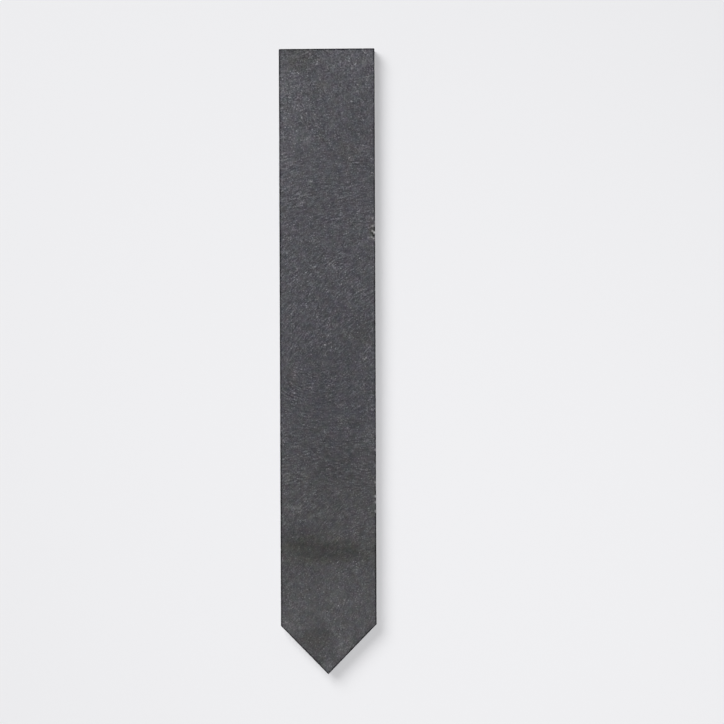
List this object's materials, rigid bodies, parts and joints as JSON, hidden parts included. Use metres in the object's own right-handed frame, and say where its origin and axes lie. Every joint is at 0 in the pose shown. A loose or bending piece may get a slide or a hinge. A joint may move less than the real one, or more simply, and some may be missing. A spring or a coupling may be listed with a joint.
{
  "type": "plant label stake",
  "caption": "Slim dark slate plant label stake with a square sawn top, flat honed writing face and a cut point for pushing into soil.",
  "frame": {"origin": "middle of the bounding box, on the back face that the stake lies on", "axes": "+Z out of the writing face, +Y from the point towards the square top end, +X to the right of someone who reads the writing face"},
  "size_m": [0.0306, 0.2, 0.005],
  "materials": {
    "slate": "honed, brushed natural slate"
  },
  "bodies": {
    "root": {"slate_blade": "slate"}
  },
  "joints": []
}
